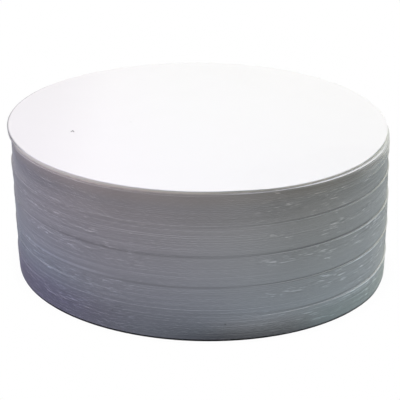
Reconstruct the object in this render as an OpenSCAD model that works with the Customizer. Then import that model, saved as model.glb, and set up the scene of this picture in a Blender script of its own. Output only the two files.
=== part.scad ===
// Filter paper discs: five cut lots and five loose discs stacked as one neat pile.
// Units are millimetres. +Z is up, and the origin is the centre of the bottom disc's lower face.

/* [Paper] */
// Diameter that the discs are cut to
disc_d = 110; // [55:5:240]
// Thickness of one disc
paper_t = 0.165; // [0.12:0.005:0.3]
// Air between two discs that lie on each other
air_gap = 0.01; // [0.005:0.005:0.03]

/* [Lots] */
// Discs in the lot at the bottom of the pile
bottom_count = 39; // [10:1:80]
// Discs in the lot above it
lower_count = 51; // [10:1:80]
// Discs in the lot at mid-height
middle_count = 50; // [10:1:80]
// Discs in the lot above the middle one
upper_count = 49; // [10:1:80]
// Discs in the lot under the loose discs
head_count = 52; // [10:1:80]
// How much wider in radius the die cuts the first disc of a lot than the last
die_draft = 0.12; // [0:0.01:0.3]

/* [Lean] */
// Sideways lean of the pile's head over its foot, within the lots
lean_x = -1.3; // [-3:0.1:3]
// Forward or backward lean of the pile's head, within the lots
lean_y = 0.6; // [-3:0.1:3]
// Sideways step from one lot to the next
lot_step_x = -0.08; // [-0.5:0.01:0.5]
// Forward or backward step from one lot to the next
lot_step_y = -0.15; // [-0.5:0.01:0.5]
// Most that a disc lies out of line with its neighbours
scatter = 0.03; // [0:0.01:0.3]
// Pattern of the discs that lie out of line
scatter_seed = 7; // [1:1:99]

/* [Loose discs] */
// Air between two loose discs, which nothing has pressed together
loose_air = 0.09; // [0.01:0.01:0.3]
// Shift of the sixth disc from the top
sixth_shift = [-0.05, -0.08]; // [-2:0.01:2]
// Shift of the fifth disc from the top, which looks out from under the others
fifth_shift = [-0.15, -0.15]; // [-2:0.01:2]
// Shift of the fourth disc from the top
fourth_shift = [-0.62, 0.02]; // [-2:0.01:2]
// Shift of the third disc from the top
third_shift = [-0.55, 0.07]; // [-2:0.01:2]
// Shift of the second disc from the top
second_shift = [-0.60, 0.03]; // [-2:0.01:2]

/* [Top disc] */
// How much wider in diameter the die cuts the top disc, the first one under it
top_spread = 0.2; // [0:0.1:2]
// Shift of the top disc
top_shift = [-0.60, 0.05]; // [-2:0.01:2]
// Height of the edge that has curled up
curl_h = 0.6; // [0.05:0.05:3]
// Direction in which the curled edge lies, from +X towards +Y
curl_dir = 50; // [-180:5:180]
// Share of the radius that still lies flat before the curl begins
curl_start = 0.3; // [0.2:0.05:0.9]

/* [Hidden] */
$fn = 120;
bend_fn = 1440;

paper_white = "#f6f5f3";
edge_grey = "#d4d3d2";

pitch = paper_t + air_gap;
loose_pitch = paper_t + loose_air;
top_d = disc_d + top_spread;
lot_counts = [bottom_count, lower_count, middle_count, upper_count, head_count];
loose_shifts = [sixth_shift, fifth_shift, fourth_shift, third_shift, second_shift];

// Number of discs below a lot, and below the loose discs for lot = len(lot_counts)
function discs_below(lot) = lot == 0 ? 0 : discs_below(lot - 1) + lot_counts[lot - 1];

lots_total = discs_below(len(lot_counts));
lots_h = lots_total * pitch;
scatter_angle = rands(0, 360, lots_total, scatter_seed);
scatter_share = rands(0, 1, lots_total, scatter_seed + 1);

// Place of a disc's centre in the pile's regular lean, counted from the bottom disc
function leaning(index, lot) =
    [lean_x, lean_y] * index / lots_total + [lot_step_x, lot_step_y] * lot;

// How far one disc lies out of line; the bottom disc marks the origin and stays on it
function scattered(index) =
    index == 0 ? [0, 0]
    : scatter * scatter_share[index] * [cos(scatter_angle[index]), sin(scatter_angle[index])];

// Radius of a disc in its lot: the die spreads, so the upper discs come out wider
function cut_radius(place, count) = disc_d / 2 + die_draft * (place / (count - 1) - 0.5);

// Head of the pile, on which the loose discs lie
head_centre = leaning(lots_total, len(lot_counts) - 1);

// One flat disc, by the height of its lower face
module disc(foot, centre, radius) {
    translate([centre.x, centre.y, foot])
        cylinder(r = radius, h = paper_t);
}

// The discs that were cut together, each a separate solid
module cut_lot(lot) {
    first = discs_below(lot);
    count = lot_counts[lot];
    color(edge_grey)
        for (place = [0 : count - 1])
            disc(
                (first + place) * pitch,
                leaning(first + place, lot) + scattered(first + place),
                cut_radius(place, count)
            );
}

// One of the loose discs under the top one, counted up from the head of the pile
module loose_disc(step) {
    color(paper_white)
        disc(lots_h + step * loose_pitch, head_centre + loose_shifts[step], disc_d / 2);
}

// Paper bends about one straight line, so the curl is a stretch of a large round tube
curl_line = curl_start * top_d / 2;
curl_reach = top_d / 2 - curl_line;
bend_r = (pow(curl_reach, 2) + pow(curl_h, 2)) / (2 * curl_h);

// Section across the bend: flat up to the curl line, then an arc of even thickness
module curled_section() {
    translate([-top_d, 0])
        square([top_d + curl_line, paper_t]);
    translate([curl_line, bend_r])
        difference() {
            circle(r = bend_r, $fn = bend_fn);
            circle(r = bend_r - paper_t, $fn = bend_fn);
            translate([-2 * bend_r, -2 * bend_r])
                square([2 * bend_r, 4 * bend_r]);
            translate([-bend_r, -bend_r + curl_h + 2 * paper_t])
                square([4 * bend_r, 2 * bend_r]);
        }
}

// A thin round sheet of even thickness that curls up at one edge
module curled_sheet() {
    intersection() {
        cylinder(d = top_d, h = curl_h + 2 * paper_t);
        rotate([0, 0, curl_dir])
            rotate([90, 0, 0])
            linear_extrude(height = 2 * top_d, center = true)
            curled_section();
    }
}

module bottom_lot() cut_lot(0);
module lower_lot() cut_lot(1);
module middle_lot() cut_lot(2);
module upper_lot() cut_lot(3);
module head_lot() cut_lot(4);

module sixth_disc() loose_disc(0);
module fifth_disc() loose_disc(1);
module fourth_disc() loose_disc(2);
module third_disc() loose_disc(3);
module second_disc() loose_disc(4);

// The disc on top, a little wider than the rest, with one edge curled up
module top_disc() {
    centre = head_centre + top_shift;
    color(paper_white)
        translate([centre.x, centre.y, lots_h + len(loose_shifts) * loose_pitch])
        curled_sheet();
}

bottom_lot();
lower_lot();
middle_lot();
upper_lot();
head_lot();
sixth_disc();
fifth_disc();
fourth_disc();
third_disc();
second_disc();
top_disc();
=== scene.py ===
"""A pile of round filter papers, dressed around its packed construction model.

Five lots of discs that were cut together lie on each other, with five loose discs and a wider,
slightly curled disc on top. Geometry Nodes build every disc from the place, size and tilt that
its solid has in the frame. Two finishes, the paper's face and its cut edge, dress them all.

Sizes in the classes are millimetres unless a name says otherwise. +Z is up, -Y faces the viewer.
An azimuth runs round the pile from -Y, positive towards +X. A span is where a fade starts and
where it is full.
"""

import logging
import math
from dataclasses import dataclass, field
from enum import Enum
from typing import Any, Iterable, Optional, Sequence, Union

import bmesh
import bpy
import numpy as np
from mathutils import Matrix, Vector


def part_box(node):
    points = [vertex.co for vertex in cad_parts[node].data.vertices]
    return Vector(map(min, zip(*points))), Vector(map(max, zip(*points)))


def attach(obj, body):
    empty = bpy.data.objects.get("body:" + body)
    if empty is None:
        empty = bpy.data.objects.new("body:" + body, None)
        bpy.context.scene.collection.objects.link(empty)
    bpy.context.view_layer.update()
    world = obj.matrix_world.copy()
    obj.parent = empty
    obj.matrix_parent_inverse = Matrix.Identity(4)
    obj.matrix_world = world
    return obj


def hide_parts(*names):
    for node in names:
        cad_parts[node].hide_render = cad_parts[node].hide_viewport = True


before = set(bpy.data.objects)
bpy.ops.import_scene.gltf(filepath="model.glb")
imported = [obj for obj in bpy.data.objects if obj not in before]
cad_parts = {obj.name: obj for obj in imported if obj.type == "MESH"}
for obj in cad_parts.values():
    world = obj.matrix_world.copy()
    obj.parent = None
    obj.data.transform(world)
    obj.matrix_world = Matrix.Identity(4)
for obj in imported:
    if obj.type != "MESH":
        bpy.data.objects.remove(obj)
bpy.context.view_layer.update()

MM = 0.001
WELD_REACH = 0.001 * MM
BODY = "root"
TOP_DISC = "top_disc"
PILE_RADIUS = 55.0
NOISE_MIDDLE = 0.5
LAYER_ROUGHNESS = 0.6
log = logging.getLogger("filter_papers")


class Slot(Enum):
    """Two material slots, by name."""

    FACE = "paper_face"
    EDGE = "paper_edge"


class Lot(Enum):
    """The lots of discs that were cut together, from the bottom up."""

    BOTTOM = "bottom_lot"
    LOWER = "lower_lot"
    MIDDLE = "middle_lot"
    UPPER = "upper_lot"
    HEAD = "head_lot"


class Loose(Enum):
    """The loose discs between the lots and the top disc, from the bottom up."""

    SIXTH = "sixth_disc"
    FIFTH = "fifth_disc"
    FOURTH = "fourth_disc"
    THIRD = "third_disc"
    SECOND = "second_disc"


# --- Node trees written as expressions ---------------------------------------------------------

Term = Union["Wire", float, int]
Span = tuple[float, float]


class Wire:
    """An output socket of a node, on which sums are written as plain Python expressions."""

    def __init__(self, bench: "Bench", socket: bpy.types.NodeSocket) -> None:
        """Holds a socket and the bench that its tree is made on."""
        self.bench = bench
        self.socket = socket

    def other(self, key: Union[str, int]) -> "Wire":
        """Another output of the same node, by its name or place."""
        return Wire(self.bench, find_socket(self.socket.node.outputs, key))

    def __add__(self, term: Term) -> "Wire":
        """This value plus a term."""
        return self.bench.sum_up("ADD", self, term)

    def __radd__(self, term: Term) -> "Wire":
        """A term plus this value."""
        return self.bench.sum_up("ADD", term, self)

    def __sub__(self, term: Term) -> "Wire":
        """This value minus a term."""
        return self.bench.sum_up("SUBTRACT", self, term)

    def __rsub__(self, term: Term) -> "Wire":
        """A term minus this value."""
        return self.bench.sum_up("SUBTRACT", term, self)

    def __mul__(self, term: Term) -> "Wire":
        """This value times a term."""
        return self.bench.sum_up("MULTIPLY", self, term)

    def __rmul__(self, term: Term) -> "Wire":
        """A term times this value."""
        return self.bench.sum_up("MULTIPLY", term, self)

    def __truediv__(self, term: Term) -> "Wire":
        """This value over a term."""
        return self.bench.sum_up("DIVIDE", self, term)

    def __neg__(self) -> "Wire":
        """This value with the other sign."""
        return self.bench.sum_up("MULTIPLY", self, -1.0)

    def __gt__(self, term: Term) -> "Wire":
        """1 where this value is greater than a term, and 0 elsewhere."""
        return self.bench.sum_up("GREATER_THAN", self, term)

    def __lt__(self, term: Term) -> "Wire":
        """1 where this value is less than a term, and 0 elsewhere."""
        return self.bench.sum_up("LESS_THAN", self, term)

    def __abs__(self) -> "Wire":
        """This value without its sign."""
        return self.bench.sum_up("ABSOLUTE", self)

    def sqrt(self) -> "Wire":
        """The square root of this value."""
        return self.bench.sum_up("SQRT", self)

    def at_least(self, term: Term) -> "Wire":
        """The greater of this value and a term."""
        return self.bench.sum_up("MAXIMUM", self, term)

    def at_most(self, term: Term) -> "Wire":
        """The lesser of this value and a term."""
        return self.bench.sum_up("MINIMUM", self, term)


def find_socket(sockets: Iterable[bpy.types.NodeSocket], key: Union[str, int]) -> bpy.types.NodeSocket:
    """Finds a node's socket.

    Args:
        sockets: The node's inputs or outputs.
        key: The socket's place, or the name of an enabled one.

    Returns:
        The socket.
    """
    if isinstance(key, int):
        return sockets[key]
    return next(socket for socket in sockets if socket.enabled and socket.name == key)


@dataclass
class Bench:
    """The place where the nodes of one tree are made and joined."""

    tree: bpy.types.NodeTree

    def make(
        self,
        kind: str,
        settings: Optional[dict[str, Any]] = None,
        sockets: Optional[dict[Union[str, int], Any]] = None,
        output: Union[str, int] = 0,
    ) -> Optional[Wire]:
        """Makes a node.

        Args:
            kind: The node's type.
            settings: Its properties, which are set first.
            sockets: The values or wires of its inputs, by name or place.
            output: The output that is wanted.

        Returns:
            The output as a wire, or None for a node without outputs.
        """
        node = self.tree.nodes.new(kind)
        for name, value in (settings or {}).items():
            setattr(node, name, value)
        for key, value in (sockets or {}).items():
            socket = find_socket(node.inputs, key)
            if isinstance(value, Wire):
                self.tree.links.new(value.socket, socket)
            else:
                socket.default_value = value
        return Wire(self, find_socket(node.outputs, output)) if len(node.outputs) else None

    def sum_up(self, operation: str, *terms: Term) -> Wire:
        """Makes a Math node of that operation on the terms."""
        return self.make("ShaderNodeMath", {"operation": operation}, dict(enumerate(terms)))

    def vector_sum(self, operation: str, *terms: Any, output: str = "Vector") -> Wire:
        """Makes a Vector Math node of that operation on the terms."""
        return self.make("ShaderNodeVectorMath", {"operation": operation}, dict(enumerate(terms)), output)

    def scaled(self, vector: Wire, factor: Term) -> Wire:
        """A vector times a number."""
        sockets = {"Vector": vector, "Scale": factor}
        return self.make("ShaderNodeVectorMath", {"operation": "SCALE"}, sockets)

    def joined(self, x: Term, y: Term, z: Term) -> Wire:
        """A vector of three numbers."""
        return self.make("ShaderNodeCombineXYZ", None, {0: x, 1: y, 2: z})

    def split(self, vector: Wire) -> tuple[Wire, Wire, Wire]:
        """The three numbers of a vector."""
        x = self.make("ShaderNodeSeparateXYZ", None, {0: vector})
        return x, x.other(1), x.other(2)

    def ramp(self, value: Wire, start: float, stop: float, low: float = 0.0, high: float = 1.0) -> Wire:
        """Eases from one number to another.

        Args:
            value: What the result depends on.
            start: The value at which the rise starts.
            stop: The value at which it ends.
            low: The result up to the start.
            high: The result from the stop on.

        Returns:
            The eased number.
        """
        sockets = {"Value": value, "From Min": start, "From Max": stop, "To Min": low, "To Max": high}
        if start > stop:
            sockets.update({"From Min": stop, "From Max": start, "To Min": high, "To Max": low})
        return self.make("ShaderNodeMapRange", {"interpolation_type": "SMOOTHSTEP"}, sockets)

    def noise(self, place: Wire, detail: float = 2.0, roughness: float = 0.5) -> Wire:
        """Smooth noise from 0 to 1 about a middle of 0.5, one lump for each unit of the place."""
        sockets = {"Vector": place, "Scale": 1.0, "Detail": detail, "Roughness": roughness}
        return self.make("ShaderNodeTexNoise", {"noise_dimensions": "3D"}, sockets)

    def mixed(self, factor: Term, first: Any, second: Any) -> Wire:
        """A colour between two, by a factor from 0 to 1."""
        sockets = {"Factor": factor, "A": first, "B": second}
        return self.make("ShaderNodeMix", {"data_type": "RGBA"}, sockets, "Result")


def swing(noise: Wire) -> Wire:
    """Noise that swings from -1 to 1, from noise between 0 and 1."""
    return (noise - NOISE_MIDDLE) * 2.0


# --- Finishes ---------------------------------------------------------------------------------


def grey(value: float) -> tuple[float, float, float, float]:
    """A neutral colour, by how light it is."""
    return (value, value, value, 1.0)


def blank_material(name: str) -> tuple[bpy.types.Material, Bench]:
    """Makes a material with no nodes in it.

    Args:
        name: The material's name.

    Returns:
        The material and a bench for its tree.
    """
    material = bpy.data.materials.new(name)
    material.use_nodes = True
    material.node_tree.nodes.clear()
    return material, Bench(material.node_tree)


@dataclass(frozen=True)
class Ring:
    """Where a point is on the pile, in millimetres, as wires that finishes share."""

    x: Wire
    y: Wire
    z: Wire
    radius: Wire
    across: Wire
    ahead: Wire

    @classmethod
    def about(cls, bench: Bench, centre: tuple[float, float]) -> "Ring":
        """Measures Object coordinates about an upright line.

        Args:
            bench: The finish's bench.
            centre: The line's X and Y in millimetres.

        Returns:
            The ring; across is the azimuth's sine, and ahead its cosine.
        """
        place = bench.make("ShaderNodeTexCoord", None, None, "Object")
        x, y, z = bench.split(bench.scaled(place, 1 / MM))
        away_x = x - centre[0]
        away_y = y - centre[1]
        radius = (away_x * away_x + away_y * away_y).sqrt()
        return cls(x, y, z, radius, away_x / radius, -away_y / radius)

    def layered(self, bench: Bench, length: float, height: float, detail: float = 3.0) -> Wire:
        """Noise drawn out along the layers.

        Args:
            bench: The finish's bench.
            length: How long a streak is round the pile.
            height: How high a streak is.
            detail: How fine its outline is.

        Returns:
            The noise, from 0 to 1.
        """
        turns = PILE_RADIUS / length
        place = bench.joined(self.across * turns, self.ahead * turns, self.z / height)
        return bench.noise(place, detail, LAYER_ROUGHNESS)


class Along(Enum):
    """The wire of a ring that a fade runs along."""

    HEIGHT = "z"
    ACROSS = "across"
    AHEAD = "ahead"


@dataclass(frozen=True)
class Fade:
    """A soft limit on the pile, 0 at its start and 1 at its stop.

    Where it has a middle, its start and stop are distances from that.
    """

    along: Along
    start: float
    stop: float
    middle: Optional[float] = None

    def on(self, bench: Bench, ring: Ring) -> Wire:
        """Draws the fade.

        Args:
            bench: The finish's bench.
            ring: The point on the pile.

        Returns:
            The fade, from 0 to 1.
        """
        measure = getattr(ring, self.along.value)
        if self.middle is not None:
            measure = abs(measure - self.middle)
        return bench.ramp(measure, self.start, self.stop)


def by_height(start: float, stop: float, middle: Optional[float] = None) -> Fade:
    """A fade along the height in millimetres."""
    return Fade(Along.HEIGHT, start, stop, middle)


def by_across(start: float, stop: float, middle: Optional[float] = None) -> Fade:
    """A fade along the azimuth's sine, from -1 at the left to 1 at the right."""
    return Fade(Along.ACROSS, start, stop, middle)


def by_ahead(start: float, stop: float) -> Fade:
    """A fade along the azimuth's cosine, which is 1 at the front."""
    return Fade(Along.AHEAD, start, stop)


@dataclass(frozen=True)
class Patch:
    """A part of the side, within soft limits, where a finish changes by a share."""

    name: str
    share: float
    fades: tuple[Fade, ...]

    def on(self, bench: Bench, ring: Ring) -> Wire:
        """Draws the patch and labels its last node with its name.

        Args:
            bench: The finish's bench.
            ring: The point on the pile.

        Returns:
            The share within the limits, and 0 outside them.
        """
        mask: Term = self.share
        for fade in self.fades:
            mask = fade.on(bench, ring) * mask
        mask.socket.node.label = self.name
        return mask


@dataclass(frozen=True)
class Fleck:
    """A tiny mark: a stroke between two points, in millimetres on the pile."""

    start: tuple[float, float, float]
    end: tuple[float, float, float]
    width: float
    strength: float


@dataclass(frozen=True)
class Paper:
    """What the two finishes of the paper share."""

    roughness: float = 0.92
    gloss: float = 0.15
    fleck_edge: Span = (0.6, 0.25)
    flecks: tuple[Fleck, ...] = ()
    ink: float = 0.1

    def flecked(self, bench: Bench, place: Wire, colour: Wire) -> Wire:
        """Lays the flecks over a colour.

        Args:
            bench: The finish's bench.
            place: The point on the pile in millimetres.
            colour: The colour under the flecks.

        Returns:
            The colour with the flecks on it.
        """
        for fleck in self.flecks:
            along = Vector(fleck.end) - Vector(fleck.start)
            per_length = tuple(along / along.length_squared)
            offset = bench.vector_sum("SUBTRACT", place, fleck.start)
            share = bench.vector_sum("DOT_PRODUCT", offset, per_length, output="Value")
            nearest = bench.scaled(bench.joined(*along), share.at_least(0.0).at_most(1.0))
            away = bench.vector_sum("DISTANCE", offset, nearest, output="Value")
            mask = bench.ramp(away / fleck.width, *self.fleck_edge) * fleck.strength
            colour = bench.mixed(mask, colour, grey(self.ink))
        return colour

    def finished(self, bench: Bench, colour: Wire, relief: Wire, depth: float) -> None:
        """Ends a paper finish in its shader.

        Args:
            bench: The finish's bench.
            colour: The paper's colour.
            relief: The height of its fibres, from 0 to 1.
            depth: The depth of the fibres in millimetres.
        """
        bump = {"Strength": 1.0, "Distance": depth * MM, "Height": relief}
        sockets = {
            "Base Color": colour,
            "Roughness": self.roughness,
            "Specular IOR Level": self.gloss,
            "Normal": bench.make("ShaderNodeBump", None, bump),
        }
        shader = bench.make("ShaderNodeBsdfPrincipled", None, sockets)
        bench.make("ShaderNodeOutputMaterial", None, {"Surface": shader})


@dataclass(frozen=True)
class PaperFace(Paper):
    """The soft white face of the paper, with its cloudy formation and fine fibres.

    It is painted a little darker at the left and a little lighter towards the right and the front, with a
    painted tint of the light at the left and a band of painted shade along the rim there.
    """

    white: float = 0.955
    tint: tuple[float, float] = (0.999, 0.995)
    # Painted light: the face grows lighter towards the right and the front by these shares per millimetre.
    rise_x: float = 0.0003
    rise_y: float = -0.0006
    # Painted shade: the left of the face is darker by this share.
    left_shade: float = 0.075
    left_shade_reach: Span = (-25.0, -53.0)
    # A painted tint of the light: the left of the face loses a little green, and less blue.
    left_tint: float = 0.02
    left_tint_blue: float = 0.4
    left_tint_reach: Span = (0.0, -50.0)
    cloud_share: float = 0.008
    cloud_length: float = 9.0
    cloud_detail: float = 3.0
    fibre_length: float = 0.45
    fibre_depth: float = 0.006
    fibre_detail: float = 4.0
    fibre_roughness: float = 0.65
    rim_centre: tuple[float, float] = (0.0, 0.0)
    rim_radius: float = PILE_RADIUS
    # Painted shade: a band along the rim at the left, darker by this share.
    rim_grey: float = 0.60
    rim_width: float = 0.6
    rim_shade_side: Fade = by_across(-0.80, -0.95)
    ink: float = 0.12

    def build(self, name: str) -> bpy.types.Material:
        """Makes the finish.

        Args:
            name: The material's name.

        Returns:
            The material.
        """
        material, bench = blank_material(name)
        ring = Ring.about(bench, self.rim_centre)
        place = bench.joined(ring.x, ring.y, ring.z)
        cloud = bench.noise(bench.scaled(place, 1 / self.cloud_length), self.cloud_detail)
        light = self.white * (1.0 + self.cloud_share * swing(cloud))
        # Painted light and painted shade across the face.
        light = light * (1.0 + ring.x * self.rise_x + ring.y * self.rise_y)
        light = light * (1.0 - bench.ramp(ring.x, *self.left_shade_reach) * self.left_shade)
        # A band of painted shade along the rim, at the left.
        rimmed = bench.ramp(self.rim_radius - ring.radius, self.rim_width, 0.0)
        light = light * (1.0 - rimmed * self.rim_shade_side.on(bench, ring) * self.rim_grey)
        # A painted tint of the light at the left.
        rosy = bench.ramp(ring.x, *self.left_tint_reach) * self.left_tint
        green, blue = self.tint
        colour = bench.joined(light, light * (green - rosy), light * (blue - rosy * self.left_tint_blue))
        colour = self.flecked(bench, place, colour)
        fibres = bench.scaled(place, 1 / self.fibre_length)
        fibres = bench.noise(fibres, self.fibre_detail, self.fibre_roughness)
        self.finished(bench, colour, fibres, self.fibre_depth)
        return material


@dataclass(frozen=True)
class Dashes:
    """Short thin dashes, in clusters, where single papers catch more light or less.

    The clusters gather about some heights and at the left foot. Long faint threads join them at
    the right, and the front and the left head stay smooth.
    """

    length: float = 3.4
    thickness: float = 0.26
    light: float = 0.50
    light_limits: Span = (0.62, 0.645)
    right_gain: float = 1.7
    right: Span = (0.0, 0.3)
    dark: float = 0.18
    dark_limits: Span = (0.38, 0.32)
    levels: tuple[float, ...] = (38.5, 33.5, 29.5, 23.0, 13.0, 5.0)
    level_reach: Span = (2.4, 0.6)
    level_share: float = 0.10
    cluster_length: float = 13.0
    cluster_height: float = 3.0
    cluster_limits: Span = (0.53, 0.64)
    thread_length: float = 24.0
    thread_height: float = 0.42
    thread_limits: Span = (0.46, 0.58)
    beside: Patch = Patch("beside the front", 1.0, (by_across(0.12, 0.45, 0.0), by_across(0.99, 0.93, 0.0)))
    smooth: Patch = Patch("smooth left head", -1.0, (by_height(32.5, 35.5), by_across(0.0, -0.2)))
    gathered: Patch = Patch("dashed left foot", 0.07, (by_height(21.0, 16.0), by_across(-0.25, -0.45)))
    threaded: Patch = Patch("threads at the right", 0.88, (by_across(0.55, 0.85),))

    def on(self, bench: Bench, ring: Ring) -> Wire:
        """Draws the dashes.

        Args:
            bench: The finish's bench.
            ring: The point on the pile.

        Returns:
            A factor for the grey.
        """
        clusters = ring.layered(bench, self.cluster_length, self.cluster_height)
        for level in self.levels:
            clusters = clusters + by_height(*self.level_reach, level).on(bench, ring) * self.level_share
        clusters = clusters + self.gathered.on(bench, ring)
        shown = self.beside.on(bench, ring) * (1.0 + self.smooth.on(bench, ring))
        shown = shown * bench.ramp(clusters, *self.cluster_limits)
        dashes = ring.layered(bench, self.length, self.thickness, detail=1.0)
        bright = bench.ramp(dashes, *self.light_limits) * self.light
        bright = bright * bench.ramp(ring.across, *self.right, 1.0, self.right_gain)
        dark = bench.ramp(dashes, *self.dark_limits) * self.dark
        threads = ring.layered(bench, self.thread_length, self.thread_height, detail=1.0) - NOISE_MIDDLE
        threads = threads * self.threaded.on(bench, ring) * bench.ramp(clusters, *self.thread_limits)
        return 1.0 + (bright - dark) * shown + threads


@dataclass(frozen=True)
class Seam:
    """One dark line between two lots, in millimetres.

    The line is painted shade where the lots meet. It starts at one azimuth's sine, and its height at the
    front is greater by the bow. It is dark by one share at the left and another at the right. From a
    further azimuth's sine on, the rim below it has a painted highlight, and so may the rim above it at the
    left.
    """

    height: float
    bow: float
    start: float
    left: float
    right: float
    gleam_start: float
    gleam: float
    left_gleam: float = 0.0


@dataclass(frozen=True)
class Seams:
    """The dark lines between the lots, and the rims that gleam beside them."""

    # Each line is painted shade where the lots meet, and each gleam a painted highlight.
    lines: tuple[Seam, ...] = (
        Seam(7.2, 0.7, -0.10, 0.10, 0.34, 0.70, 1.7),
        Seam(15.9, 0.1, -0.45, 0.16, 0.46, 0.75, 2.2, left_gleam=0.26),
        Seam(24.8, 0.1, -0.80, 0.20, 0.46, 0.70, 1.7),
        Seam(33.4, 0.1, -0.10, 0.08, 0.34, 0.74, 0.6),
    )
    line_reach: Span = (0.5, 0.15)
    line_ease: float = 0.15
    front: Span = (0.65, 0.0)
    right: Span = (0.2, 0.6)
    gleam_reach: Span = (0.225, 0.075)
    gleam_drop: float = 0.5
    gleam_ease: float = 0.12
    left_reach: Span = (0.55, 0.18)
    left_rise: float = 0.65
    left: Patch = Patch("left gleam", 1.0, (by_across(-0.35, -0.60), by_across(-0.97, -0.85)))

    def on(self, bench: Bench, ring: Ring, streaks: Wire) -> Wire:
        """Draws the lines.

        Args:
            bench: The finish's bench.
            ring: The point on the pile.
            streaks: Slow noise that makes the lines uneven.

        Returns:
            A factor for the grey.
        """
        tone: Term = 1.0
        for seam in self.lines:
            over = ring.z - bench.ramp(abs(ring.across), *self.front) * seam.bow - seam.height
            line = bench.ramp(abs(over), *self.line_reach)
            line = line * bench.ramp(ring.across, seam.start - self.line_ease, seam.start + self.line_ease)
            shade = bench.ramp(ring.across, *self.right, seam.left, seam.right)
            tone = (1.0 - line * shade * (NOISE_MIDDLE + streaks)) * tone
            start = seam.gleam_start
            gleam = bench.ramp(abs(over + self.gleam_drop), *self.gleam_reach)
            gleam = gleam * bench.ramp(ring.across, start - self.gleam_ease, start + self.gleam_ease)
            tone = tone * (1.0 + gleam * seam.gleam)
            if seam.left_gleam:
                gleam = bench.ramp(abs(over - self.left_rise), *self.left_reach) * self.left.on(bench, ring)
                tone = tone * (1.0 + gleam * seam.left_gleam)
        return tone


@dataclass(frozen=True)
class RimGlow:
    """The light band under the upper rim, with a frayed lower limit."""

    # The band is painted light, which stands for the light that the thin upper papers let through.
    head: float = 43.4
    light: float = 0.97
    hair_share: float = 0.35
    warmth: float = 0.055
    green: float = 0.045
    limits: Span = (1.0, 0.15)
    reach_front: float = 0.95
    reach_left: float = 1.45
    left: Span = (-0.08, -0.62)
    right_share: float = 0.8
    right: Span = (0.0, 0.5)
    far_left: Fade = by_across(-1.0, -0.88)
    fray_length: float = 2.0
    fray_height: float = 0.5
    fray_detail: float = 2.0
    fray_share: float = 1.1

    def on(self, bench: Bench, ring: Ring) -> Wire:
        """Draws the band.

        Args:
            bench: The finish's bench.
            ring: The point on the pile.

        Returns:
            How strong the band is, from 0 to 1.
        """
        fray = ring.layered(bench, self.fray_length, self.fray_height, self.fray_detail) - NOISE_MIDDLE
        reach = bench.ramp(ring.across, *self.left, self.reach_front, self.reach_left)
        reach = reach * (1.0 + fray * self.fray_share)
        glow = bench.ramp((self.head - ring.z) / reach, *self.limits)
        glow = glow * bench.ramp(ring.across, *self.right, 1.0, self.right_share)
        return glow * self.far_left.on(bench, ring)


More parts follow.
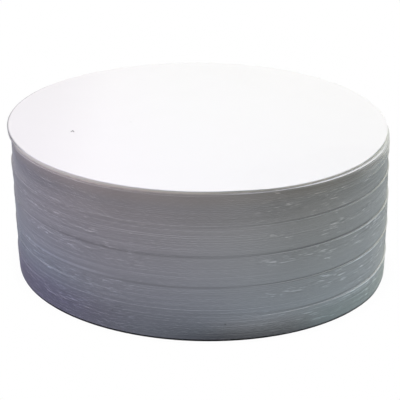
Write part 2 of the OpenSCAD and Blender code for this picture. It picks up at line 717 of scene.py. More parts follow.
@dataclass(frozen=True)
class CutEdge(Paper):
    """The cut edges of many papers pressed together: grey, streaked along the layers.

    The tones are patches of painted light and shade, lighter or darker. The warmths and the greens are
    painted tints of the lamps' light: the warmths move the grey from blue to red, and the greens towards
    green.
    """

    # The grey of the cut edges is partly their own colour and partly painted shade.
    light: float = 0.62
    streak_share: float = 0.03
    streak_length: float = 16.0
    streak_height: float = 0.9
    hair_share: float = 0.032
    hair_length: float = 3.5
    hair_height: float = 0.35
    hair_depth: float = 0.01
    dashes: Dashes = Dashes()
    seams: Seams = Seams()
    glow: RimGlow = RimGlow()
    # The tones are painted light and shade: darker low down and near the floor, lighter or darker where the
    # lamps fall.
    tones: tuple[Patch, ...] = (
        Patch("left foot", -0.30, (by_height(14.0, 1.0), by_across(0.30, -0.10))),
        Patch("right foot", 0.16, (by_height(26.0, 14.0), by_height(4.0, 8.0), by_across(0.05, 0.60))),
        Patch("front foot", -0.60, (by_height(7.0, 0.0), by_across(-0.35, 0.15), by_across(0.80, 0.35))),
        Patch("right half", -0.11, (by_across(0.15, 0.50), by_height(5.0, 12.0))),
        Patch("right head", -0.12, (by_height(33.0, 38.0), by_across(0.15, 0.45), by_across(0.90, 0.70))),
        Patch("waist", 0.07, (by_height(12.0, 20.0), by_height(38.0, 28.0))),
        Patch("left head", 0.15, (by_height(32.0, 36.0), by_across(-0.35, -0.60))),
        Patch("front head", -0.12, (by_height(32.0, 36.0), by_across(0.45, 0.10, 0.13))),
        Patch("far right", -0.20, (by_across(0.950, 0.995), by_height(6.0, 10.0), by_height(39.0, 36.0))),
        Patch("right corner", 0.25, (by_across(0.75, 0.88), by_height(38.5, 40.0))),
        Patch("far left", 0.18, (by_across(-0.93, -1.0),)),
        Patch("right sole", -0.08, (by_height(7.0, 3.0), by_across(0.55, 0.75))),
    )
    # Painted shadow along the foot, where the pile meets the floor.
    sole: Patch = Patch("sole", -0.85, (by_height(0.8, 0.4), by_ahead(0.0, 0.7)))
    # The warmths and the greens are painted tints of the lamps' light.
    warmths: tuple[Patch, ...] = (
        Patch("cool left", -0.15, (by_across(-0.45, -0.85), by_height(32.0, 4.0))),
        Patch("warm front foot", 0.11, (by_across(0.35, 0.10, 0.30), by_height(9.0, 2.0))),
        Patch("warm head", 0.08, (by_height(38.0, 41.5),)),
    )
    greens: tuple[Patch, ...] = (
        Patch("violet left foot", -0.12, (by_across(-0.25, -0.85), by_height(13.0, 3.0))),
        Patch("teal right foot", 0.05, (by_across(0.40, 0.70), by_height(8.0, 3.0))),
    )
    neutral_height: float = 22.0
    warmth_rise: float = 0.007
    warmth_most: float = 0.10
    warmth_ahead: Span = (0.30, 0.90)
    warmth_behind: float = 0.1
    flecks: tuple[Fleck, ...] = (
        Fleck((6.0, -53.0, 5.1), (6.3, -56.0, 5.1), 0.6, 0.5),
        Fleck((-23.7, -48.0, 6.3), (-24.9, -50.4, 6.3), 0.5, 0.35),
    )

    def build(self, name: str) -> bpy.types.Material:
        """Makes the finish.

        Args:
            name: The material's name.

        Returns:
            The material.
        """
        material, bench = blank_material(name)
        ring = Ring.about(bench, (0.0, 0.0))
        streaks = ring.layered(bench, self.streak_length, self.streak_height)
        hairs = ring.layered(bench, self.hair_length, self.hair_height)
        light = self.light * (1.0 + self.streak_share * swing(streaks))
        light = light * (1.0 + self.hair_share * swing(hairs))
        # The seams paint shade between the lots and highlights on the rims beside them.
        light = light * self.dashes.on(bench, ring) * self.seams.on(bench, ring, streaks)
        # The tones paint light and shade on the side.
        for patch in self.tones:
            light = light * (1.0 + patch.on(bench, ring))
        # Painted light under the top disc: the rim glow.
        glow = self.glow.on(bench, ring)
        head_light = self.glow.light * (1.0 + (hairs - NOISE_MIDDLE) * self.glow.hair_share)
        light = light + (head_light - light) * glow
        # The sole paints a shadow along the foot, where the pile meets the floor.
        light = light * (1.0 + self.sole.on(bench, ring))
        # Painted tints of the lamps' light: warmer higher up and under the rim, cooler and violet at the
        # left, teal at the right foot.
        warmth = ((ring.z - self.neutral_height) * self.warmth_rise).at_most(self.warmth_most)
        warmth = warmth * bench.ramp(ring.ahead, *self.warmth_ahead, self.warmth_behind, 1.0)
        warmth = warmth + glow * self.glow.warmth
        for patch in self.warmths:
            warmth = warmth + patch.on(bench, ring)
        green = 1.0 + glow * self.glow.green
        for patch in self.greens:
            green = green + patch.on(bench, ring)
        colour = bench.joined(light * (1.0 + warmth / 2), light * green, light * (1.0 - warmth / 2))
        colour = self.flecked(bench, bench.joined(ring.x, ring.y, ring.z), colour)
        self.finished(bench, colour, hairs, self.hair_depth)
        return material


@dataclass(frozen=True)
class StudioFloor:
    """A bright seamless floor with a faint shadow where the pile touches it."""

    white: float = 1.0
    shade: float = 0.015
    shade_reach: float = 5.0
    foot_radius: float = PILE_RADIUS

    def build(self, name: str) -> bpy.types.Material:
        """Makes the finish.

        Args:
            name: The material's name.

        Returns:
            The material.
        """
        material, bench = blank_material(name)
        ring = Ring.about(bench, (0.0, 0.0))
        near = bench.ramp(ring.radius, self.foot_radius + self.shade_reach, self.foot_radius)
        light = self.white * (1.0 - near * near * self.shade)
        shader = bench.make("ShaderNodeEmission", None, {"Color": bench.joined(light, light, light)})
        bench.make("ShaderNodeOutputMaterial", None, {"Surface": shader})
        return material


# --- Forms made by Geometry Nodes ---------------------------------------------------------------


SHARP_ANGLE_DEG = 25.0
FACE_UPRIGHT = 0.8
SAG_AZIMUTH = math.radians(39.0)
SAG_FACING: Span = (0.87, 1.0)
SAG_REACH: Span = (0.72, 1.0)
LEFT_SIDE: Span = (0.30, -0.05)


class Kind(Enum):
    """What a form's named inputs may hold."""

    COUNT = "NodeSocketInt"
    LENGTH = "NodeSocketFloat"
    VECTOR = "NodeSocketVector"
    FINISH = "NodeSocketMaterial"


class Form:
    """A Geometry Nodes tree with named inputs that turns a seed mesh into a piece."""

    def __init__(self, name: str, inputs: dict[Kind, Sequence[str]]) -> None:
        """Starts the tree.

        Args:
            name: The tree's name.
            inputs: The names of its inputs, by what they hold.
        """
        self.name = name
        self.tree = bpy.data.node_groups.new(name, "GeometryNodeTree")
        self.bench = Bench(self.tree)
        sockets = self.tree.interface
        sockets.new_socket(name="Geometry", in_out="INPUT", socket_type="NodeSocketGeometry")
        sockets.new_socket(name="Geometry", in_out="OUTPUT", socket_type="NodeSocketGeometry")
        self.keys = {
            label: sockets.new_socket(name=label, in_out="INPUT", socket_type=kind.value).identifier
            for kind, labels in inputs.items()
            for label in labels
        }
        self.seed = self.bench.make("NodeGroupInput")

    def given(self, name: str) -> Wire:
        """The wire of a named input."""
        return self.seed.other(name)

    def attribute(self, name: str, data_type: str = "FLOAT") -> Wire:
        """The wire of a named attribute."""
        settings = {"data_type": data_type}
        return self.bench.make("GeometryNodeInputNamedAttribute", settings, {"Name": name}, "Attribute")

    def sagging(self, away_x: Wire, away_y: Wire, radius: Wire) -> Wire:
        """How far the rim of a loose disc sags where the pile's front right presses the air out.

        Args:
            away_x: The distance from the disc's centre along X.
            away_y: The same along Y.
            radius: The disc's radius.

        Returns:
            The share of the sag, from 0 to 1.
        """
        bench = self.bench
        distance = (away_x * away_x + away_y * away_y).sqrt()
        facing = away_x * math.sin(SAG_AZIMUTH) - away_y * math.cos(SAG_AZIMUTH)
        facing = bench.ramp(facing / distance.at_least(MM), *SAG_FACING)
        return facing * bench.ramp(distance / radius, *SAG_REACH)

    def dressed(self, shape: Wire) -> None:
        """Ends the tree with sharp rims, smooth walls, and a finish each for walls and faces.

        Args:
            shape: The discs' geometry.
        """
        bench = self.bench
        angle = bench.make("GeometryNodeInputMeshEdgeAngle")
        smooth_walls = bench.make(
            "GeometryNodeSetShadeSmooth", {"domain": "FACE"}, {"Geometry": shape, "Shade Smooth": True}
        )
        sharp_rims = bench.make(
            "GeometryNodeSetShadeSmooth",
            {"domain": "EDGE"},
            {
                "Geometry": smooth_walls,
                "Selection": angle > math.radians(SHARP_ANGLE_DEG),
                "Shade Smooth": False,
            },
        )
        whole = bench.make("GeometryNodeRealizeInstances", None, {"Geometry": sharp_rims})
        _, _, upright = bench.split(bench.make("GeometryNodeInputNormal"))
        walls = {"Geometry": whole, "Material": self.given("Walls")}
        walls = bench.make("GeometryNodeSetMaterial", None, walls)
        faces = bench.make(
            "GeometryNodeSetMaterial",
            None,
            {"Geometry": walls, "Selection": abs(upright) > FACE_UPRIGHT, "Material": self.given("Faces")},
        )
        bench.make("NodeGroupOutput", None, {"Geometry": faces})

    def shape(self, name: str, seed: bpy.types.Mesh, values: dict[str, Any]) -> bpy.types.Object:
        """Makes a piece as a plain mesh.

        Args:
            name: The piece's name.
            seed: The mesh that the tree starts from.
            values: The value of each named input.

        Returns:
            The piece, at the origin, with its place in its mesh and no modifier.
        """
        piece = bpy.data.objects.new(name, seed)
        bpy.context.scene.collection.objects.link(piece)
        modifier = piece.modifiers.new(self.name, "NODES")
        modifier.node_group = self.tree
        for label, value in values.items():
            modifier[self.keys[label]] = value
        depsgraph = bpy.context.evaluated_depsgraph_get()
        mesh = bpy.data.meshes.new_from_object(piece.evaluated_get(depsgraph), depsgraph=depsgraph)
        mesh.name = name
        piece.modifiers.remove(modifier)
        piece.data = mesh
        bpy.data.meshes.remove(seed)
        return piece


@dataclass(frozen=True)
class Disc:
    """One flat disc as its solid lies in the frame, in metres."""

    centre: Vector
    slope: Vector
    radius: float
    thickness: float

    @classmethod
    def measured(cls, points: np.ndarray) -> "Disc":
        """Measures a disc from the points on its two rims.

        Args:
            points: The points, one row each.

        Returns:
            The disc; its centre is half-way through the paper, and its slope is its rise along X
            and Y.
        """
        centre = points.mean(0)
        away = points - centre
        slope = np.linalg.lstsq(away[:, :2], away[:, 2], rcond=None)[0]
        height = away[:, 2] - away[:, :2] @ slope
        radius = np.hypot(away[:, 0], away[:, 1]).mean()
        return cls(Vector(centre), Vector((*slope, 0.0)), float(radius), float(np.ptp(height)))

    @property
    def foot(self) -> float:
        """The height of its lower face."""
        return self.centre.z - self.thickness / 2


def discs_of(node: str) -> list[Disc]:
    """Measures the discs in a node of the frame.

    Args:
        node: The node's name.

    Returns:
        Its discs, from the bottom up.
    """
    weld = bmesh.new()
    weld.from_mesh(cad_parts[node].data)
    bmesh.ops.remove_doubles(weld, verts=weld.verts, dist=WELD_REACH)
    waiting = set(weld.verts)
    found = []
    while waiting:
        fresh = [waiting.pop()]
        island = []
        while fresh:
            vert = fresh.pop()
            island.append(vert.co[:])
            linked = {edge.other_vert(vert) for edge in vert.link_edges} & waiting
            waiting -= linked
            fresh.extend(linked)
        found.append(Disc.measured(np.array(sorted(island))))
    weld.free()
    return sorted(found, key=lambda disc: disc.centre.z)


def top_disc_place() -> tuple[Vector, float]:
    """Measures the flat part of the top disc in the frame.

    Returns:
        The centre of its lower face and its radius, in metres.
    """
    low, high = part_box(TOP_DISC)
    radius = (high.y - low.y) / 2
    return Vector((low.x + radius, low.y + radius, low.z)), radius


def seed_points(name: str, rows: Sequence[dict[str, Union[float, Vector]]]) -> bpy.types.Mesh:
    """Makes a mesh of loose points with named values on them.

    Args:
        name: The mesh's name.
        rows: The numbers and vectors of each point, by their names; "centre" is its place.

    Returns:
        The mesh.
    """
    mesh = bpy.data.meshes.new(name)
    mesh.from_pydata([tuple(row["centre"]) for row in rows], [], [])
    for label, first in rows[0].items():
        is_vector = isinstance(first, Vector)
        attribute = mesh.attributes.new(label, "FLOAT_VECTOR" if is_vector else "FLOAT", "POINT")
        flat = np.array([row[label] for row in rows], np.float32).ravel()
        attribute.data.foreach_set("vector" if is_vector else "value", flat)
    return mesh


class StackedDiscs(Form):
    """Flat discs, each instanced at its own place and then worn a little at its rim.

    The spans say where a wear starts and where it is full: as a share of the radius for the rim,
    as noise for the proud papers, and otherwise as the part of the outward direction that points
    right, left, to the back or to the front.
    """

    RIM: Span = (0.97, 0.99)
    RIPPLE_LAYER = 7.31
    PROUD_LAYER = 9.7
    PROUD_NOISE: Span = (0.61, 0.67)
    BESIDES_FRONT: Span = (0.95, 0.84)
    BEFORE_BACK: Span = (0.99, 0.90)
    LEDGE_RIGHT: Span = (0.45, 0.95)
    LIP_RIGHT: Span = (0.2, 0.7)
    LIP_LEFT: Span = (-0.75, -0.90)
    LIP_LEFT_FRONT: Span = (0.1, -0.1)
    LIP_LEFT_SHARE = 0.6
    SHOULDER_LEFT: Span = (0.25, 0.0)
    SHOULDER_END: Span = (-0.98, -0.90)
    SHOULDER_BACK: Span = (0.95, 0.60)
    SHOULDER_FADE: Span = (9.0, 0.9)
    SLANT_FRONT: Span = (0.86, 1.0)
    SLANT_FRONT_SHARE = 0.5
    FLARE_RIGHT: Span = (0.38, 0.64)
    FLARE_END: Span = (0.985, 0.920)
    TUCK_SIDE: Span = (0.86, 0.98)
    SEAM_FAR_LEFT: Span = (-0.35, -0.70)
    SEAM_FRONT_SHARE = 0.1
    SEAM_LEFT: Span = (0.5, 0.2)
    SEAM_RIGHT: Span = (0.2, 0.6)

    def __init__(self, name: str, rings: int) -> None:
        """Builds the tree.

        Args:
            name: The tree's name.
            rings: The rings of faces across a disc; 1 leaves each side of it as one face.
        """
        self.rings = rings
        super().__init__(
            name,
            {
                Kind.COUNT: ("Sides", "Seed"),
                Kind.LENGTH: (
                    "Thickness", "Ripple", "Ripple Length", "Proud", "Proud Length", "Ledge", "Lip", "Seam",
                    "Slant", "Slant Reach", "Sole",
                ),
                Kind.FINISH: ("Walls", "Faces"),
            },
        )
        self.dressed(self.rimmed(self.laid()))

    def laid(self) -> Wire:
        """Lays a disc on each seed point, turned at random about its centre.

        Returns:
            The flat discs.
        """
        bench = self.bench
        sockets = {"Vertices": self.given("Sides"), "Radius": 1.0, "Depth": self.given("Thickness")}
        if self.rings > 1:
            sockets["Fill Segments"] = self.rings
        disc = bench.make(
            "GeometryNodeMeshCylinder",
            {"fill_type": "TRIANGLE_FAN" if self.rings > 1 else "NGON"},
            sockets,
            "Mesh",
        )
        turn = bench.make(
            "FunctionNodeRandomValue",
            {"data_type": "FLOAT"},
            {"Min": 0.0, "Max": math.tau, "Seed": self.given("Seed")},
            "Value",
        )
        radius = self.attribute("radius")
        laid = bench.make(
            "GeometryNodeInstanceOnPoints",
            None,
            {
                "Points": self.seed,
                "Instance": disc,
                "Rotation": bench.joined(0.0, 0.0, turn),
                "Scale": bench.joined(radius, radius, 1.0),
            },
        )
        return bench.make("GeometryNodeRealizeInstances", None, {"Geometry": laid})

    def rimmed(self, discs: Wire) -> Wire:
        """Tilts each disc as it lies, and moves its rim in or out by small amounts.

        Args:
            discs: The flat discs.

        Returns:
            The worn discs.
        """
        bench = self.bench
        radius = self.attribute("radius")
        place = bench.make("GeometryNodeInputPosition")
        away = bench.vector_sum("SUBTRACT", place, self.attribute("centre", "FLOAT_VECTOR"))
        away_x, away_y, away_z = bench.split(away)
        level = bench.joined(away_x, away_y, 0.0)
        out = bench.vector_sum("NORMALIZE", level)
        out_x, out_y, _ = bench.split(out)
        upper = away_z > 0.0
        rim = bench.ramp(bench.vector_sum("LENGTH", level, output="Value") / radius, *self.RIM)
        sole = (self.attribute("sheet") < 1.0) * (1.0 - upper) * self.given("Sole")
        moved = self.uneven(out_x, out_y, radius) + self.lipped(out_x, out_y) - sole
        moved = moved - self.tucked_in(out_x) + self.leaning(out, away_z)

        slope = self.attribute("slope", "FLOAT_VECTOR")
        rise = bench.vector_sum("DOT_PRODUCT", away, slope, output="Value")
        fluff = upper * self.attribute("air") * bench.ramp(out_x, *LEFT_SIDE)
        sag = self.attribute("sag") * self.sagging(away_x, away_y, radius)
        lift = bench.joined(0.0, 0.0, rise + fluff - sag)
        step = bench.vector_sum("ADD", bench.scaled(out, moved * rim), lift)
        return bench.make("GeometryNodeSetPosition", None, {"Geometry": discs, "Offset": step})

    def uneven(self, out_x: Wire, out_y: Wire, radius: Wire) -> Wire:
        """How far the rim ripples, and stands proud where papers stick out of the side.

        Args:
            out_x: The outward direction's X.
            out_y: The outward direction's Y.
            radius: The disc's radius.

        Returns:
            The distance outwards in metres.
        """
        bench = self.bench
        sheet = self.attribute("sheet")
        turns = radius / self.given("Ripple Length")
        ripple = self.rim_noise(out_x, out_y, turns, sheet * self.RIPPLE_LAYER)
        turns = radius / self.given("Proud Length")
        lumps = self.rim_noise(out_x, out_y, turns, sheet * self.PROUD_LAYER)
        proud = bench.ramp(lumps, *self.PROUD_NOISE) * bench.ramp(-out_y, *self.BESIDES_FRONT)
        moved = proud * self.attribute("sticks") * self.given("Proud")
        moved = moved + (ripple - NOISE_MIDDLE) * self.given("Ripple")
        return moved * bench.ramp(out_y, *self.BEFORE_BACK)

    def lipped(self, out_x: Wire, out_y: Wire) -> Wire:
        """How far the ledges under the head and the lip of each lot stand out.

        Args:
            out_x: The outward direction's X.
            out_y: The outward direction's Y.

        Returns:
            The distance outwards in metres.
        """
        bench = self.bench
        ledge = bench.ramp(out_x, *self.LEDGE_RIGHT) * self.attribute("ledge")
        left = bench.ramp(out_x, *self.LIP_LEFT) * bench.ramp(out_y, *self.LIP_LEFT_FRONT)
        lip = self.attribute("lip") * (bench.ramp(out_x, *self.LIP_RIGHT) + left * self.LIP_LEFT_SHARE)
        return ledge * self.given("Ledge") + lip * self.given("Lip")

    def tucked_in(self, out_x: Wire) -> Wire:
        """How far a disc is tucked in at the seams, at the far left and at the far right.

        Args:
            out_x: The outward direction's X.

        Returns:
            The distance inwards in metres.
        """
        bench = self.bench
        tuck = self.attribute("tuck_left") * bench.ramp(-out_x, *self.TUCK_SIDE)
        tuck = tuck + self.attribute("tuck_right") * bench.ramp(out_x, *self.TUCK_SIDE)
        seam = bench.ramp(out_x, *self.SEAM_FAR_LEFT, self.SEAM_FRONT_SHARE, 1.0)
        seam = self.attribute("seam_left") * seam * bench.ramp(out_x, *self.SEAM_LEFT)
        seam = seam + self.attribute("seam_right") * bench.ramp(out_x, *self.SEAM_RIGHT)
        return tuck + seam * self.given("Seam")

    def leaning(self, out: Wire, away_z: Wire) -> Wire:
        """How far the head of the pile slants out to the top disc, and the loose discs flare.

        Args:
            out: The outward direction.
            away_z: The height over the middle of the disc.

        Returns:
            The distance outwards in metres.
        """
        bench = self.bench
        out_x, out_y, _ = bench.split(out)
        depth = (self.attribute("depth") - away_z) / self.given("Slant Reach")
        level = 1.0 - depth.at_least(0.0).at_most(1.0)
        slant = (1.0 - level * level) * self.given("Slant")
        slant = slant * bench.ramp(-out_y, *self.SLANT_FRONT, 1.0, self.SLANT_FRONT_SHARE)
        astray = self.attribute("astray", "FLOAT_VECTOR")
        slant = slant + bench.vector_sum("DOT_PRODUCT", out, astray, output="Value")
        shoulder = bench.ramp(out_x, *self.SHOULDER_LEFT) * bench.ramp(out_x, *self.SHOULDER_END)
        shoulder = shoulder * bench.ramp(out_y, *self.SHOULDER_BACK)
        flare = bench.ramp(out_x, *self.FLARE_RIGHT) * bench.ramp(out_x, *self.FLARE_END)
        fade = bench.ramp(depth, *self.SHOULDER_FADE)
        return slant * fade * shoulder + self.attribute("flare") * flare

    def rim_noise(self, out_x: Wire, out_y: Wire, turns: Wire, layer: Wire) -> Wire:
        """Noise along a rim, with its own pattern on each layer.

        Args:
            out_x: The outward direction's X.
            out_y: The outward direction's Y.
            turns: The rim's radius over the length of a lump.
            layer: A number that differs from layer to layer.

        Returns:
            The noise, from 0 to 1.
        """
        return self.bench.noise(self.bench.joined(out_x * turns, out_y * turns, layer), 1.0)


class CurledDisc(Form):
    """A thin round sheet that curls up about a straight line near one edge."""

    RIM: Span = (0.985, 0.999)

    def __init__(self) -> None:
        """Builds the tree."""
        super().__init__(
            "curled disc",
            {
                Kind.COUNT: ("Sides", "Rings"),
                Kind.LENGTH: ("Radius", "Thickness", "Curl Line", "Bend Radius", "Sag", "Bevel"),
                Kind.VECTOR: ("Curl Direction", "Centre"),
                Kind.FINISH: ("Walls", "Faces"),
            },
        )
        bench = self.bench
        sheet = bench.make(
            "GeometryNodeMeshCylinder",
            {"fill_type": "TRIANGLE_FAN"},
            {
                "Vertices": self.given("Sides"),
                "Fill Segments": self.given("Rings"),
                "Radius": self.given("Radius"),
                "Depth": self.given("Thickness"),
            },
            "Mesh",
        )
        place = bench.make("GeometryNodeInputPosition")
        reach = bench.vector_sum("DOT_PRODUCT", place, self.given("Curl Direction"), output="Value")
        reach = (reach - self.given("Curl Line")).at_least(0.0)
        bend = self.given("Bend Radius")
        lift = reach * reach / (bend + (bend * bend - reach * reach).sqrt())
        place_x, place_y, place_z = bench.split(place)
        lift = lift - self.given("Sag") * self.sagging(place_x, place_y, self.given("Radius"))
        distance = (place_x * place_x + place_y * place_y).sqrt()
        rim = bench.ramp(distance / self.given("Radius"), *self.RIM)
        left = bench.ramp(place_x / distance.at_least(MM), *LEFT_SIDE)
        bevel = (place_z > 0.0) * rim * left * self.given("Bevel")
        out = bench.vector_sum("NORMALIZE", bench.joined(place_x, place_y, 0.0))
        step = bench.vector_sum("ADD", bench.scaled(out, -bevel), bench.joined(0.0, 0.0, lift))
        step = bench.vector_sum("ADD", self.given("Centre"), step)
        self.dressed(bench.make("GeometryNodeSetPosition", None, {"Geometry": sheet, "Offset": step}))


# --- The pile -----------------------------------------------------------------------------------


@dataclass
class Pile:
    """All the flat discs of the pile: its lots and its loose discs.

    A tuck is a height and how far the side is tucked in there. A flare is a depth under the top
    disc and how far a disc sticks out at the right there.
    """

    sides: int = 120
    ripple: float = 0.03
    ripple_length: float = 6.0
    proud: float = 0.08
    proud_length: float = 4.0
    loosened: tuple[float, ...] = (38.6, 33.6, 29.0, 23.0, 12.8, 5.0)
    loosened_reach: float = 2.0
    ledge: float = 0.25
    ledge_depths: tuple[float, ...] = (2.6, 3.7, 5.2)
    lip: float = 0.14
    seam: float = 0.24
    seam_sheets: int = 2
    seams_left: tuple[float, ...] = (0.0, 0.0, 0.1, 0.25, 0.2)
    seams_right: tuple[float, ...] = (0.0, 1.3, 1.4, 1.4, 1.2)
    tucks_left: tuple[Span, ...] = (
        (0.0, 0.15), (5.6, 0.0), (9.4, 0.20), (15.1, 0.04), (17.0, 0.19), (22.8, 0.06), (26.6, 0.18),
        (30.4, 0.0), (32.5, -0.12), (33.6, 0.10), (34.5, 0.28), (38.0, 0.33), (41.0, 0.25), (42.3, 0.0),
    )
    tucks_right: tuple[Span, ...] = (
        (0.0, 0.50), (3.5, 0.47), (5.4, 0.44), (7.3, 0.33), (13.0, 0.25), (17.0, 0.0), (20.0, -0.05),
        (24.0, 0.0),
    )
    slant: float = 0.25
    slant_reach: float = 1.0
    flares: tuple[Span, ...] = ((0.1, -0.08), (0.75, -0.08), (0.95, 0.48), (1.4, 0.30), (2.4, 0.0))
    fluff: float = 0.9
    sag_share: float = 0.88
    loose_rings: int = 12
    sole: float = 0.15
    seed: int = 11
    feet: list[float] = field(default_factory=list, init=False)
    sheets_below: int = field(default=0, init=False)
    top_centre: Vector = field(default_factory=Vector, init=False)

    def build(self, face: bpy.types.Material, edge: bpy.types.Material) -> None:
        """Builds and dresses the lots and the loose discs.

        Args:
            face: The finish of the paper's faces.
            edge: The finish of its cut edges.
        """
        self.top_centre, _ = top_disc_place()
        discs = {piece.value: discs_of(piece.value) for piece in (*Lot, *Loose)}
        self.feet = [disc.foot for lying in discs.values() for disc in lying] + [self.top_centre.z]
        pressed = StackedDiscs("pressed discs", 1)
        loosened = StackedDiscs("loose discs", self.loose_rings)
        for piece in (*Lot, *Loose):
            is_lot = isinstance(piece, Lot)
            form = pressed if is_lot else loosened
            papers = self.laid(form, piece.value, discs[piece.value], face, edge)
            settle(papers, piece.value)

    def laid(
        self,
        form: StackedDiscs,
        node: str,
        discs: Sequence[Disc],
        face: bpy.types.Material,
        edge: bpy.types.Material,
    ) -> bpy.types.Object:
        """Builds the discs of one node.

        Args:
            form: The tree that makes discs.
            node: The node's name.
            discs: The node's discs, from the bottom up.
            face: The finish of the paper's faces.
            edge: The finish of its cut edges.

        Returns:
            The piece.
        """
        rows = [self.worn_by(node, place, disc, len(discs)) for place, disc in enumerate(discs)]
        lengths = {
            "Ripple": self.ripple,
            "Ripple Length": self.ripple_length,
            "Proud": self.proud,
            "Proud Length": self.proud_length,
            "Ledge": self.ledge,
            "Lip": self.lip,
            "Seam": self.seam,
            "Slant": self.slant,
            "Slant Reach": self.slant_reach,
            "Sole": self.sole,
        }
        values = {
            "Sides": self.sides,
            "Thickness": discs[0].thickness,
            "Seed": self.seed,
            "Walls": edge,
            "Faces": face,
            **{label: length * MM for label, length in lengths.items()},
        }
        piece = form.shape(f"{node}_papers", seed_points(f"{node}_places", rows), values)
        self.sheets_below += len(discs)
        log.info("%s: %d discs, %d faces", piece.name, len(discs), len(piece.data.polygons))
        return piece

    def worn_by(self, node: str, place: int, disc: Disc, count: int) -> dict[str, Union[float, Vector]]:
        """Gathers what one disc's wear depends on, under the names that the tree reads.

        Args:
            node: The node's name.
            place: The disc's place in its node, from the bottom up.
            disc: The disc.
            count: How many discs its node has.

        Returns:
            The values, in metres or as shares.
        """
        sheet = self.sheets_below + place
        height = disc.centre.z / MM
        head = self.feet[-1] / MM
        return {
            "centre": disc.centre,
            "slope": disc.slope,
            "radius": disc.radius,
            "depth": self.feet[-1] - disc.centre.z,
            "sheet": float(sheet),
            "air": self.fluff * (self.feet[sheet + 1] - disc.centre.z - disc.thickness / 2),
            "sticks": self.nearness(height, self.loosened, self.loosened_reach),
            "ledge": self.nearness(head - height, self.ledge_depths, disc.thickness / MM),
            "lip": float(count > 1 and place == count - 1),
            "seam_left": self.seam_of(node, place, self.seams_left),
            "seam_right": self.seam_of(node, place, self.seams_right),
            "tuck_left": self.read_off(height, self.tucks_left),
            "tuck_right": self.read_off(height, self.tucks_right),
            "flare": self.read_off(head - height, self.flares),
            "astray": self.top_centre - disc.centre,
            "sag": self.sag_share * self.air_under(disc),
        }

    def seam_of(self, node: str, place: int, depths: Sequence[float]) -> float:
        """How much of a seam a disc makes, by its place in its lot."""
        lots = [lot.value for lot in Lot]
        return depths[lots.index(node)] * max(0.0, 1.0 - place / self.seam_sheets) if node in lots else 0.0

    def air_under(self, disc: Disc) -> float:
        """Adds up the air between a loose disc and the lots.

        Args:
            disc: The disc.

        Returns:
            The height of the air in metres; 0 for a disc in a lot.
        """
        sixth = self.feet[-len(Loose) - 1]
        sheets = round((disc.foot - sixth) / (self.feet[-1] - self.feet[-2]))
        return max(0.0, disc.foot - sixth - sheets * disc.thickness)

    @staticmethod
    def read_off(height: float, curve: Sequence[Span]) -> float:
        """Reads a length in metres off a curve of heights and lengths in millimetres."""
        heights, lengths = zip(*curve)
        return float(np.interp(height, heights, lengths)) * MM

    @staticmethod
    def nearness(height: float, marks: Sequence[float], reach: float) -> float:
        """How near a height is to one of some marks: 1 at the mark, 0 beyond its reach."""
        return max(0.0, 1.0 - min(abs(height - mark) for mark in marks) / reach)


@dataclass
class TopDisc:
    """The wider disc on top, with one edge curled up and a few tiny marks."""

    sides: int = 360
    rings: int = 24
    curl_direction_deg: float = 50.0
    curl_start: float = 0.3
    sag: float = 0.4
    bevel: float = 0.15
    flecks: tuple[Fleck, ...] = (
        Fleck((-38.1, -11.6, 43.6), (-37.7, -10.6, 43.6), 0.4, 0.8),
        Fleck((-37.7, -10.6, 43.6), (-37.3, -11.6, 43.6), 0.4, 0.8),
        Fleck((-21.8, -2.5, 43.6), (-21.4, -2.4, 43.6), 0.5, 0.12),
        Fleck((39.3, 24.2, 43.8), (39.7, 24.4, 43.8), 0.5, 0.10),
    )

    def build(self) -> None:
        """Builds and dresses the disc."""
        foot, radius = top_disc_place()
        low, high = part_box(Loose.SECOND.value)
        thickness = high.z - low.z
        centre = foot + Vector((0.0, 0.0, thickness / 2))
        line = self.curl_start * radius
        reach = radius - line
        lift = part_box(TOP_DISC)[1].z - foot.z - thickness
        turn = math.radians(self.curl_direction_deg)
        rim_centre = (foot.x / MM, foot.y / MM)
        face = PaperFace(rim_centre=rim_centre, rim_radius=radius / MM, flecks=self.flecks)
        face = face.build("top_paper_face")
        piece = CurledDisc().shape(
            f"{TOP_DISC}_paper",
            bpy.data.meshes.new("top_seed"),
            {
                "Sides": self.sides,
                "Rings": self.rings,
                "Radius": radius,
                "Thickness": thickness,
                "Curl Line": line,
                "Curl Direction": (math.cos(turn), math.sin(turn), 0.0),
                "Bend Radius": (reach * reach + lift * lift) / (2 * lift),
                "Centre": tuple(centre),
                "Sag": self.sag * MM,
                "Bevel": self.bevel * MM,
                "Walls": face,
                "Faces": face,
            },
        )
        settle(piece, TOP_DISC)
        log.info("%s: radius %.2f mm, lift %.2f mm", piece.name, radius / MM, lift / MM)


def settle(piece: bpy.types.Object, node: str) -> None:
    """Puts a finished piece in the place of its node.

    Args:
        piece: The piece.
        node: The node that it stands for.
    """
    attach(piece, BODY)
    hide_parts(node)


# --- The studio ---------------------------------------------------------------------------------


@dataclass(frozen=True)
class Lamp:
    """A soft square lamp that is turned towards the pile."""

    name: str
    azimuth_deg: float
    elevation_deg: float
    power: tuple[float, float, float]
    size: float = 220.0
    distance: float = 500.0

    def hang(self, target: Vector) -> None:
        """Hangs the lamp.

        Args:
            target: The point that it shines at, in metres.
        """
        azimuth = math.radians(self.azimuth_deg)
        elevation = math.radians(self.elevation_deg)
        level = math.cos(elevation)
        away = Vector((level * math.sin(azimuth), -level * math.cos(azimuth), math.sin(elevation)))
        strongest = max(self.power)
        data = bpy.data.lights.new(self.name, "AREA")
        data.shape = "SQUARE"
        data.size = self.size * MM
        data.energy = strongest
        data.color = [share / strongest for share in self.power]
        lamp = bpy.data.objects.new(self.name, data)
        lamp.location = target + away * self.distance * MM
        lamp.rotation_mode = "QUATERNION"
        lamp.rotation_quaternion = (-away).to_track_quat("-Z", "Y")
        lamp.visible_camera = False
        bpy.context.scene.collection.objects.link(lamp)


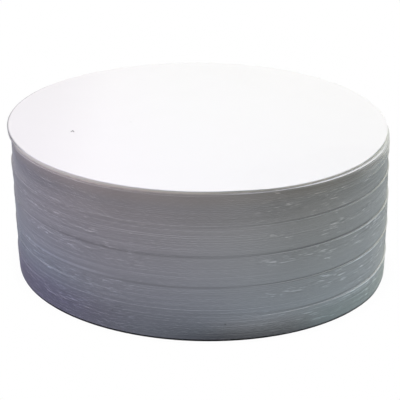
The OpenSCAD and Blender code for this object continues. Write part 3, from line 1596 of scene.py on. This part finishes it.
@dataclass
class Studio:
    """The floor, the lamps, the bright surroundings and the camera."""

    target: tuple[float, float, float] = (-1.62, 0.0, 21.875)
    camera_distance: float = 460.1
    camera_elevation_deg: float = 22.0691
    camera_roll_deg: float = 0.9413
    lens: float = 139.616
    sensor: float = 36.0
    shift_x: float = 0.003989
    shift_y: float = -0.026474
    floor_side: float = 4000.0
    floor_drop: float = 0.02
    lamps: tuple[Lamp, ...] = (
        Lamp("overhead", 0.0, 90.0, (0.505, 0.545, 0.640), size=300.0),
        Lamp("front_left_high", -30.0, 50.0, (0.368, 0.384, 0.409)),
        Lamp("left_high", -60.0, 50.0, (0.576, 0.479, 0.603)),
        Lamp("back_left_high", -120.0, 50.0, (0.610, 0.582, 0.417)),
        Lamp("left", -105.0, 25.0, (0.226, 0.296, 0.473)),
        Lamp("front_right_low", 30.0, 5.0, (0.399, 0.424, 0.481)),
        Lamp("right_low", 75.0, 5.0, (0.276, 0.308, 0.252)),
        Lamp("back_right_low", 120.0, 5.0, (0.394, 0.471, 0.632)),
        Lamp("back_right_high", 120.0, 50.0, (0.280, 0.253, 0.166)),
        Lamp("behind_right", 150.0, 25.0, (1.236, 1.267, 1.128)),
    )

    def build(self) -> None:
        """Sets up the whole studio."""
        target = Vector(self.target) * MM
        self.lay_floor()
        self.brighten_surroundings()
        for lamp in self.lamps:
            lamp.hang(target)
            log.info("lamp %s", lamp.name)
        self.set_camera(target)

    def lay_floor(self) -> None:
        """Lays the floor just under the pile, where it neither lights nor shades the paper."""
        half = self.floor_side * MM / 2
        level = -self.floor_drop * MM
        mesh = bpy.data.meshes.new("studio_floor")
        corners = [(-half, -half, level), (half, -half, level), (half, half, level), (-half, half, level)]
        mesh.from_pydata(corners, [], [(0, 1, 2, 3)])
        mesh.materials.append(StudioFloor().build("studio_floor"))
        floor = bpy.data.objects.new("studio_floor", mesh)
        floor.visible_diffuse = False
        floor.visible_glossy = False
        floor.visible_shadow = False
        bpy.context.scene.collection.objects.link(floor)

    def brighten_surroundings(self) -> None:
        """Makes the surroundings white to the camera alone."""
        world = bpy.data.worlds.new("studio")
        world.use_nodes = True
        world.node_tree.nodes.clear()
        bench = Bench(world.node_tree)
        light = bench.make("ShaderNodeBackground", None, {"Color": (1.0, 1.0, 1.0, 1.0)})
        bench.make("ShaderNodeOutputWorld", None, {"Surface": light})
        for ray in ("diffuse", "glossy", "transmission", "scatter"):
            setattr(world.cycles_visibility, ray, False)
        bpy.context.scene.world = world
        bpy.context.scene.view_settings.view_transform = "Standard"

    def set_camera(self, target: Vector) -> None:
        """Sets the camera.

        Args:
            target: The middle of the pile, in metres.
        """
        elevation = math.radians(self.camera_elevation_deg)
        roll = math.radians(self.camera_roll_deg)
        back = Vector((0.0, -math.cos(elevation), math.sin(elevation)))
        level = Vector((1.0, 0.0, 0.0))
        up = Vector((0.0, math.sin(elevation), math.cos(elevation)))
        right = level * math.cos(roll) + up * math.sin(roll)
        top = up * math.cos(roll) - level * math.sin(roll)
        data = bpy.data.cameras.new("camera")
        data.sensor_width = self.sensor
        data.lens = self.lens
        data.shift_x = self.shift_x
        data.shift_y = self.shift_y
        camera = bpy.data.objects.new("camera", data)
        turn = Matrix((right, top, back)).transposed().to_4x4()
        camera.matrix_world = Matrix.Translation(target + back * self.camera_distance * MM) @ turn
        bpy.context.scene.collection.objects.link(camera)
        bpy.context.scene.camera = camera


def main() -> None:
    """Builds the studio, the pile and the top disc."""
    logging.basicConfig(level=logging.INFO, format="%(name)s: %(message)s")
    Studio().build()
    edge = CutEdge().build("cut_edge")
    face = PaperFace().build("paper_face")
    Pile().build(face, edge)
    TopDisc().build()


if __name__ == "__main__":
    main()
